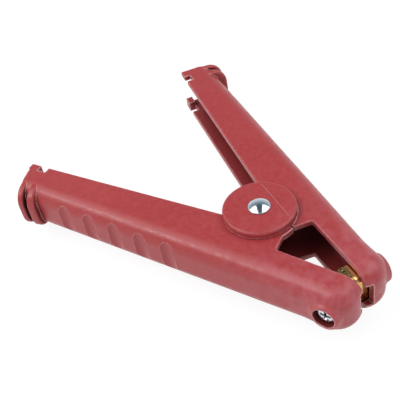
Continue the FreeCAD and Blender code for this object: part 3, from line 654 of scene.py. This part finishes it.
@dataclass
class Studio:
    """Floor, world, lamps and the camera at the photograph's angle."""

    target: Vector = field(default_factory=lambda: Vector((-76.774, -4.299, 0.0)) * MM)
    distance: float = 308.958 * MM
    bearing: float = -33.534
    elevation: float = 42.716
    roll: float = -11.437
    lens_mm: float = 68.19
    sensor_mm: float = 36.0
    floor_size: float = 6.0
    floor_paper: str = "#E2E2E2"
    floor_glow: float = 1.12
    glow_share: float = 0.8      # the rest of what is seen of the floor is lit paper, with shadows
    room_tones: tuple[tuple[float, str], ...] = (
        (0.0, "#F6F8F9"), (0.35, "#C3CDD3"), (0.62, "#8B99A3"), (0.8, "#59666F"), (1.0, "#4A565F"))
    box_height: float = 1.0
    box_size: tuple[float, float] = (1.25, 1.1)     # along the camera's bearing and across it
    box_radiance: float = 2.1
    left_box: tuple[float, float, float] = (-0.095, -0.72, 0.0)  # ahead, aside, turn in degrees
    right_box: tuple[float, float, float] = (0.02, 0.81, -12.0)
    strip: tuple[float, float, float] = (0.08, -0.92, 0.0)
    strip_size: tuple[float, float] = (0.5, 0.16)
    strip_drop: float = 0.06     # it hangs this far below the left box
    strip_radiance: float = 19.0

    def build(self) -> None:
        """Make the floor, the light and the camera."""
        scene = bpy.context.scene
        scene.view_settings.view_transform = "Standard"
        self.lay_floor()
        self.light_world(scene)
        self.hang_lamps()
        self.place_camera(scene)

    def view_axes(self) -> tuple[Vector, Vector, Vector]:
        """Camera axes in the row frame.

        Returns:
            Right, up, and back towards the camera.
        """
        turn, rise = math.radians(self.bearing), math.radians(self.elevation)
        back = Vector((math.cos(rise) * math.cos(turn), math.cos(rise) * math.sin(turn),
                       math.sin(rise)))
        right = Vector((-math.sin(turn), math.cos(turn), 0.0))
        up = back.cross(right)
        tilt = math.radians(self.roll)
        return (right * math.cos(tilt) + up * math.sin(tilt),
                up * math.cos(tilt) - right * math.sin(tilt), back)

    def place_camera(self, scene: bpy.types.Scene) -> None:
        """Put the camera where the photograph was taken from.

        Args:
            scene: scene that looks through it.
        """
        lens = bpy.data.cameras.new("photo_camera")
        lens.lens, lens.sensor_width, lens.sensor_fit = self.lens_mm, self.sensor_mm, "HORIZONTAL"
        lens.clip_start, lens.clip_end = 0.01, 20.0
        camera = bpy.data.objects.new("photo_camera", lens)
        right, up, back = self.view_axes()
        turn = Matrix((right, up, back)).transposed().to_4x4()
        camera.matrix_world = Matrix.Translation(self.target + back * self.distance) @ turn
        scene.collection.objects.link(camera)
        scene.camera = camera

    def lay_floor(self) -> None:
        """White sweep under the clip, with a faint shadow."""
        half, level = self.floor_size / 2, CAD_BOX[0].z
        mesh = bpy.data.meshes.new("floor")
        mesh.from_pydata([(-half, -half, level), (half, -half, level), (half, half, level),
                          (-half, half, level)], [], [(0, 1, 2, 3)])
        material, tree = blank_material("white_sweep")
        paper = add_node(tree, "ShaderNodeBsdfDiffuse", inputs={"Color": linear(self.floor_paper)})
        glow = add_node(tree, "ShaderNodeEmission", inputs={
            "Color": linear("#FFFFFF"), "Strength": self.floor_glow})
        path = add_node(tree, "ShaderNodeLightPath")
        seen = add_node(tree, "ShaderNodeMath", {"operation": "MAXIMUM"}, {
            0: path.outputs["Is Camera Ray"], 1: path.outputs["Is Glossy Ray"]})
        through = add_node(tree, "ShaderNodeMath", {"operation": "MAXIMUM"}, {
            0: seen.outputs[0], 1: path.outputs["Is Transmission Ray"]})
        share = add_node(tree, "ShaderNodeMath", {"operation": "MULTIPLY"}, {
            0: through.outputs[0], 1: self.glow_share})
        mixed = add_node(tree, "ShaderNodeMixShader", inputs={
            0: share.outputs[0], 1: paper.outputs[0], 2: glow.outputs[0]})
        finish_material(tree, mixed.outputs[0])
        mesh.materials.append(material)
        floor = bpy.data.objects.new("floor", mesh)
        bpy.context.scene.collection.objects.link(floor)

    def light_world(self, scene: bpy.types.Scene) -> None:
        """Backdrop: a room that dims and turns bluish overhead, white where the camera sees it.

        Args:
            scene: scene that gets the room.
        """
        world = bpy.data.worlds.new("studio_room")
        world.use_nodes = True
        tree = world.node_tree
        tree.nodes.clear()
        way = add_node(tree, "ShaderNodeTexCoord").outputs["Generated"]
        height = add_node(tree, "ShaderNodeSeparateXYZ", inputs={0: way}).outputs["Z"]
        fall = add_node(tree, "ShaderNodeValToRGB", inputs={0: height})
        steps = fall.color_ramp.elements
        for place, shade in self.room_tones[1:-1]:
            steps.new(place).color = linear(shade)
        steps[0].color, steps[-1].color = (linear(self.room_tones[end][1]) for end in (0, -1))
        seen = add_node(tree, "ShaderNodeLightPath").outputs["Is Camera Ray"]
        tone = add_node(tree, "ShaderNodeMix", {"data_type": "RGBA"}, {
            "Factor": seen, 6: fall.outputs[0], 7: linear("#FFFFFF")})
        background = add_node(tree, "ShaderNodeBackground", inputs={"Color": tone.outputs[2]})
        add_node(tree, "ShaderNodeOutputWorld", inputs={"Surface": background.outputs[0]})
        scene.world = world

    def hang_lamps(self) -> None:
        """Two soft boxes side by side overhead, a dark gap in line with the camera, and a strip."""
        turn = math.radians(self.bearing)
        forward = Vector((math.cos(turn), math.sin(turn), 0.0))
        right = Vector((-math.sin(turn), math.cos(turn), 0.0))
        lamps = (("left_softbox", self.left_box, self.box_size, self.box_radiance, 0.0),
                 ("right_softbox", self.right_box, self.box_size, self.box_radiance, 0.0),
                 ("strip_light", self.strip, self.strip_size, self.strip_radiance, self.strip_drop))
        for name, (ahead, aside, splay), shape, radiance, drop in lamps:
            lamp = bpy.data.lights.new(name, "AREA")
            lamp.shape, (lamp.size, lamp.size_y) = "RECTANGLE", shape
            lamp.energy = radiance * math.pi * lamp.size * lamp.size_y
            box = bpy.data.objects.new(name, lamp)
            box.location = (self.target + forward * ahead + right * aside
                            + Vector((0.0, 0.0, self.box_height - drop)))
            box.rotation_euler.z = turn + math.radians(splay)
            bpy.context.scene.collection.objects.link(box)


@dataclass(frozen=True)
class NoseAxis:
    """Axis of a nose screw. Levels are measured along it from the pivot's side, in mm."""

    pivot_x: float = -45.0
    jaw_angle: float = 15.1
    screw_reach: float = 39.6
    head_seat: float = 23.2
    nut_face: float = 18.7

    def place(self, half: Half, level: float) -> Matrix:
        """Frame with Z out along the screw of a half, at a level.

        Args:
            half: the half that carries the screw.
            level: distance along the axis in millimetres.

        Returns:
            The frame in metres.
        """
        turn = math.radians(-self.jaw_angle)
        along = Vector((math.cos(turn), math.sin(turn), 0.0))
        out = Vector((-math.sin(turn), math.cos(turn), 0.0))
        spot = Vector((self.pivot_x, 0.0, 0.0)) + along * self.screw_reach + out * level
        axes = Matrix((along, out.cross(along), out)).transposed().to_4x4()
        return half.turned() @ Matrix.Translation(spot * MM) @ axes


@dataclass
class ClampSet:
    """Screw, nut and split washer that hold a contact in a nose."""

    half: Half
    zinc: bpy.types.Material
    axis: NoseAxis = field(default_factory=NoseAxis)
    head_radius: float = 3.4
    head_height: float = 2.4
    head_edge: tuple[tuple[float, float], ...] = (      # in from the side, down from the top
        (0.0, 0.55), (0.12, 0.22), (0.45, 0.06), (0.9, 0.0))
    foot_chamfer: float = 0.12
    shank: float = 2.0
    core: float = 1.72               # stem at the foot of its thread
    stem: float = 8.3
    tip_chamfer: float = 0.45
    thread_pitch: float = 0.7
    run_out: float = 0.3             # thread ends this far from the neck
    crest_share: float = 1.55        # ridge to the thread's height, as it is half sunk
    plain_neck: float = 0.5
    cross_span: float = 4.2          # recess at its top, just over the head
    cross_width: float = 0.95
    cross_floor: float = 2.4
    cross_taper: float = 0.7         # width of its floor to that of its top
    cross_depth: float = 1.6
    nut_flats: float = 7.0
    nut_height: float = 3.2
    nut_facing: float = 0.97         # turned face to the flats
    bore_chamfer: float = 0.35
    washer_radii: tuple[float, float] = (2.3, 2.9)
    washer_thick: float = 0.62
    washer_rise: float = 0.16        # from one end to the other
    washer_split: float = 14.0       # degrees
    washer_steps: int = 56

    def build(self) -> None:
        """Make the three pieces and stand them for their nodes."""
        for part, piece, level in (
                ("screw", self.screw(), self.axis.head_seat),
                ("nut", self.nut(), self.axis.nut_face),
                ("lock_washer", self.split_washer(), self.axis.nut_face)):
            piece.data.transform(self.axis.place(self.half, level))
            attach(piece, self.half.body)
            stand_for(piece, self.zinc, self.half.node(part))

    def screw(self) -> bpy.types.Object:
        """Cheese head screw.

        Returns:
            The screw, local Z out of the head and zero under it.
        """
        head, high, chamfer = self.head_radius, self.head_height, self.tip_chamfer
        edge = [(head - inward, high - down) for inward, down in self.head_edge]
        screw = turn_profile(self.half.node("screw_visual"), [
            (0.0, -self.stem), (self.core - chamfer, -self.stem), (self.core, chamfer - self.stem),
            (self.core, -self.plain_neck - 0.2), (self.shank, -self.plain_neck),
            (self.shank, -0.01), (head - self.foot_chamfer, 0.0), (head, self.foot_chamfer),
            *edge, (0.0, high)], steps=72)
        for turned in (False, True):
            combine(screw, self.cross_arm(turned), Cut.OUTSIDE)
        soften(screw, width_mm=0.05)
        self.cut_thread(screw)
        return screw

    def cross_arm(self, turned: bool) -> bpy.types.Object:
        """Tapered blade that sinks one pair of arms of the cross recess.

        Args:
            turned: whether the arms lie along Y instead of X.

        Returns:
            The blade, reaching a little over the head.
        """
        def outline(span: float, width: float) -> list[tuple[float, float]]:
            """Corners of a rectangle round the axis, in millimetres."""
            corners = [(-span, -width), (span, -width), (span, width), (-span, width)]
            return [(-y / 2, x / 2) if turned else (x / 2, y / 2) for x, y in corners]

        return prism("cross_arm", outline(self.cross_floor, self.cross_taper * self.cross_width),
                     outline(self.cross_span, self.cross_width),
                     self.head_height - self.cross_depth, self.head_height + 0.2)

    def cut_thread(self, screw: bpy.types.Object) -> None:
        """Wind the thread round the stem.

        Args:
            screw: turned screw that gets the thread.
        """
        run = self.stem - self.plain_neck - self.tip_chamfer - self.run_out
        sizes = {"Radius": self.core * MM,
                 "Crest": (self.shank - self.core) * self.crest_share * MM,
                 "Turns": run / self.thread_pitch, "Run": run * MM,
                 "Start": (self.tip_chamfer - self.stem) * MM}
        tree, given, names = follow_tree("screw_thread", sizes)
        helix = add_node(tree, "GeometryNodeCurveSpiral", inputs={
            "Resolution": 36, "Rotations": given.outputs["Turns"],
            "Start Radius": given.outputs["Radius"], "End Radius": given.outputs["Radius"],
            "Height": given.outputs["Run"]})
        lift = add_node(tree, "ShaderNodeCombineXYZ", inputs={"Z": given.outputs["Start"]})
        raised = add_node(tree, "GeometryNodeTransform", inputs={
            "Geometry": helix.outputs[0], "Translation": lift.outputs[0]})
        ridge = add_node(tree, "GeometryNodeCurvePrimitiveCircle", inputs={
            "Resolution": 4, "Radius": given.outputs["Crest"]})
        wound = add_node(tree, "GeometryNodeCurveToMesh", inputs={
            "Curve": raised.outputs[0], "Profile Curve": ridge.outputs[0], "Fill Caps": True})
        joined = add_node(tree, "GeometryNodeJoinGeometry", inputs={0: wound.outputs[0]})
        tree.links.new(given.outputs["Geometry"], joined.inputs[0])
        grow(screw, tree, names, sizes, joined.outputs[0], self.zinc)

    def nut(self) -> bpy.types.Object:
        """Hexagon nut with turned chamfers.

        Returns:
            The nut, local zero on its outer face.
        """
        across, deep = self.nut_flats / 2, self.nut_height
        corner = across / math.cos(math.radians(30.0))
        hexagon = [(corner * math.cos(math.radians(60.0 * side)),
                    corner * math.sin(math.radians(60.0 * side))) for side in range(6)]
        nut = prism(self.half.node("nut_visual"), hexagon, hexagon, -deep, 0.0)
        facing, beyond = self.nut_facing * across, corner + 0.3
        fall = (beyond - facing) * math.tan(math.radians(30.0))
        barrel = turn_profile("barrel", [
            (0.0, -deep - 0.001), (facing, -deep - 0.001), (beyond, fall - deep),
            (beyond, -fall), (facing, 0.001), (0.0, 0.001)], steps=96)
        combine(nut, barrel, Cut.SHARED)
        hole, mouth = self.shank + 0.02, self.shank + self.bore_chamfer
        bore = turn_profile("bore", [
            (0.0, -deep - 0.2), (mouth, -deep - 0.2), (hole, 0.25 - deep),
            (hole, -0.25), (mouth, 0.2), (0.0, 0.2)], steps=48)
        combine(nut, bore, Cut.OUTSIDE)
        soften(nut, width_mm=0.06)
        return nut

    def split_washer(self) -> bpy.types.Object:
        """Spring washer: a square section wound once, its ends apart and a little offset.

        Returns:
            The washer, local zero on its lower face.
        """
        inner, outer = self.washer_radii
        rise, thick, steps = self.washer_rise, self.washer_thick, self.washer_steps
        sweep = math.radians(360.0 - self.washer_split)
        corners = ((inner, 0.01), (outer, 0.01), (outer, thick), (inner, thick))
        points, faces = [], []
        for step in range(steps + 1):
            turn = sweep * step / steps
            for radius, level in corners:
                points.append((radius * MM * math.cos(turn), radius * MM * math.sin(turn),
                               (level + rise * step / steps) * MM))
        for step in range(steps):
            base = 4 * step
            faces += [(base + side, base + (side + 1) % 4, base + 4 + (side + 1) % 4,
                       base + 4 + side) for side in range(4)]
        faces += [(3, 2, 1, 0), tuple(4 * steps + side for side in range(4))]
        mesh = bpy.data.meshes.new(self.half.node("lock_washer_visual"))
        mesh.from_pydata(points, [], faces)
        shape = bmesh.new()
        shape.from_mesh(mesh)
        bmesh.ops.recalc_face_normals(shape, faces=shape.faces)
        shape.to_mesh(mesh)
        shape.free()
        washer = new_piece(mesh.name, mesh)
        soften(washer, width_mm=0.05)
        return washer


@dataclass
class PivotJoint:
    """Rivet with its washer and sleeve, and the torsion spring wound round them."""

    zinc: bpy.types.Material
    nickel: bpy.types.Material
    wire_steel: bpy.types.Material
    pivot_x: float = -45.0
    disc_face: float = 13.1
    end_play: float = 0.1
    head_radius: float = 4.3
    head_height: float = 1.5
    head_lip: float = 0.3
    rim_edge: tuple[tuple[float, float], ...] = (       # in from the side, out from the underside
        (0.14, 0.0), (0.03, 0.06), (0.0, 0.16))
    dome_steps: int = 16
    rivet_crease: float = 50.0       # degrees
    shank: float = 2.5
    washer_radii: tuple[float, float] = (2.6, 5.5)
    washer_thick: float = 0.8
    sleeve_radii: tuple[float, float] = (2.58, 3.78)
    sleeve_half: float = 7.6
    wire: float = 1.0
    coil: float = 5.6
    coil_half_height: float = 6.4
    coil_turn: float = 1905.54       # degrees between the two legs
    leg: float = 44.0
    spring_points: int = 330

    def build(self) -> None:
        """Make the four pieces."""
        middle = Matrix.Translation(Vector((self.pivot_x, 0.0, 0.0)) * MM)
        for node, piece, finish, slot in (
                ("pivot_rivet", self.rivet(), self.nickel, "rivet_steel"),
                ("rivet_washer", self.washer(), self.zinc, "plated_steel"),
                ("pivot_sleeve", self.sleeve(), self.zinc, "plated_steel")):
            piece.data.transform(middle)
            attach(piece, Half.FRONT.body)
            stand_for(piece, finish, node)
        self.wind_spring(middle)

    def dome(self, base: float, way: float) -> list[tuple[float, float]]:
        """Rim, lip and dome of one rivet head, from the shank's side to its crown.

        Args:
            base: height of the head's underside.
            way: 1 for the upper head, -1 for the lower one.

        Returns:
            Radius and height of each point in millimetres.
        """
        rise = self.head_height - self.head_lip
        ball = (self.head_radius ** 2 + rise ** 2) / (2 * rise)
        widest = math.asin(self.head_radius / ball)
        turns = [widest * (1 - step / self.dome_steps) for step in range(1, self.dome_steps)]
        arc = [(ball * math.sin(turn),
                base + way * (self.head_height - ball + ball * math.cos(turn))) for turn in turns]
        rim = [(self.head_radius - inward, base + way * out) for inward, out in self.rim_edge]
        lip = (self.head_radius - 0.02, base + way * (self.head_lip - 0.02))
        return [*rim, lip, *arc, (0.0, base + way * self.head_height)]

    def rivet(self) -> bpy.types.Object:
        """Round head rivet with its formed tail.

        Returns:
            The rivet, with its middle at the origin.
        """
        top = self.dome(self.disc_face + self.end_play, 1.0)
        tail = self.dome(-self.disc_face - self.washer_thick, -1.0)
        shank = [(self.shank, tail[0][1]), (self.shank, top[0][1])]
        rivet = turn_profile("pivot_rivet_visual", tail[::-1] + shank + top, steps=96)
        rivet.data.shade_smooth()
        rivet.data.set_sharp_from_angle(angle=math.radians(self.rivet_crease))
        return rivet

    def washer(self) -> bpy.types.Object:
        """Flat washer, stamped: a rolled edge above and a sharp one below.

        Returns:
            The washer, at its level under the lower disc.
        """
        inner, outer = self.washer_radii
        low, high = -self.disc_face - self.washer_thick, -self.disc_face
        washer = turn_profile("rivet_washer_visual", [
            (outer - 0.05, low), (outer, low + 0.05), (outer, high - 0.25),
            (outer - 0.08, high - 0.08), (outer - 0.25, high), (inner + 0.1, high),
            (inner, high - 0.1), (inner, low)], steps=80, ring=True)
        soften(washer, width_mm=0.03)
        return washer

    def sleeve(self) -> bpy.types.Object:
        """Steel tube round the rivet, chamfered at both ends.

        Returns:
            The sleeve, with its middle at the origin.
        """
        inner, outer = self.sleeve_radii
        tall = self.sleeve_half
        sleeve = turn_profile("pivot_sleeve_visual", [
            (outer - 0.2, -tall), (outer, 0.2 - tall), (outer, tall - 0.2), (outer - 0.2, tall),
            (inner + 0.15, tall), (inner, tall - 0.15), (inner, 0.15 - tall),
            (inner + 0.15, -tall)], steps=64, ring=True)
        soften(sleeve, width_mm=0.04)
        return sleeve

    def wind_spring(self, middle: Matrix) -> None:
        """Sweep the wire along a line that is straight, winds round the sleeve and leaves it.

        Args:
            middle: frame at the pivot.
        """
        run = math.hypot(math.radians(self.coil_turn) * self.coil, 2 * self.coil_half_height)
        sizes = {"Wire": self.wire * MM, "Coil": self.coil * MM, "Run": run * MM,
                 "Leg": self.leg * MM, "Turn": math.radians(self.coil_turn),
                 "Height": 2 * self.coil_half_height * MM}
        tree, given, names = follow_tree("torsion_spring", sizes)

        def step(kind: str, first: SocketValue, second: SocketValue = 0.0,
                 third: SocketValue = 0.0) -> bpy.types.NodeSocket:
            """Result of one sum in the tree."""
            return add_node(tree, "ShaderNodeMath", {"operation": kind},
                            {0: first, 1: second, 2: third}).outputs[0]

        line = add_node(tree, "GeometryNodeCurvePrimitiveLine", inputs={"End": (1.0, 0.0, 0.0)})
        points = add_node(tree, "GeometryNodeResampleCurve", {"mode": "COUNT"}, {
            "Curve": line.outputs[0], "Count": self.spring_points})
        half_run = step("MULTIPLY", given.outputs["Run"], 0.5)
        index = add_node(tree, "GeometryNodeInputIndex").outputs[0]
        share = step("DIVIDE", index, self.spring_points - 1.0)
        reach = step("ADD", half_run, given.outputs["Leg"])
        spot = step("MULTIPLY", step("MULTIPLY_ADD", share, 2.0, -1.0), reach)
        wound = step("MINIMUM", step("MAXIMUM", spot, step("MULTIPLY", half_run, -1.0)), half_run)
        straight = step("SUBTRACT", spot, wound)
        part = step("DIVIDE", wound, given.outputs["Run"])
        turn = step("MULTIPLY_ADD", part, given.outputs["Turn"], math.pi)
        sine, cosine = step("SINE", turn), step("COSINE", turn)
        coil = given.outputs["Coil"]
        place = add_node(tree, "ShaderNodeCombineXYZ", inputs={
            "X": step("SUBTRACT", step("MULTIPLY", coil, cosine), step("MULTIPLY", straight, sine)),
            "Y": step("MULTIPLY_ADD", coil, sine, step("MULTIPLY", straight, cosine)),
            "Z": step("MULTIPLY", part, given.outputs["Height"])})
        bent = add_node(tree, "GeometryNodeSetPosition", inputs={
            "Geometry": points.outputs[0], "Position": place.outputs[0]})
        section = add_node(tree, "GeometryNodeCurvePrimitiveCircle", inputs={
            "Resolution": 16, "Radius": given.outputs["Wire"]})
        swept = add_node(tree, "GeometryNodeCurveToMesh", inputs={
            "Curve": bent.outputs[0], "Profile Curve": section.outputs[0], "Fill Caps": True})
        spring = new_piece("torsion_spring_visual", bpy.data.meshes.new("torsion_spring_visual"))
        grow(spring, tree, names, sizes, swept.outputs[0], self.wire_steel)
        soften(spring, width_mm=0.12)
        spring.data.transform(middle)
        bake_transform(spring)
        stand_for(spring, self.wire_steel, "torsion_spring")


@dataclass
class CarriedParts:
    """Nodes that keep their modelled shape and only take a finish."""

    finishes: dict[str, bpy.types.Material]

    def dress(self) -> None:
        """Give each node that shows its finish."""
        for name, node in sorted(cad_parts.items()):
            key = next((key for key in self.finishes if name.endswith(key)), None)
            if key is None:
                continue
            node.data.materials.clear()
            node.data.materials.append(self.finishes[key])
            LOG.info("dressed %s", name)


def main() -> None:
    """Build the studio and dress every piece of the clip."""
    logging.basicConfig(level=logging.INFO, format="%(name)s: %(message)s")
    Studio().build()
    nylon, brass = MouldedNylon().build(), ROLLED_BRASS.build()
    zinc, nickel, wire = BRIGHT_ZINC.build(), NICKELLED_RIVET.build(), SPRING_WIRE.build()
    CarriedParts({"lever": nylon, "contact": brass}).dress()
    for half in Half:
        ClampSet(half, zinc).build()
    PivotJoint(zinc, nickel, wire).build()


if __name__ == "__main__":
    main()
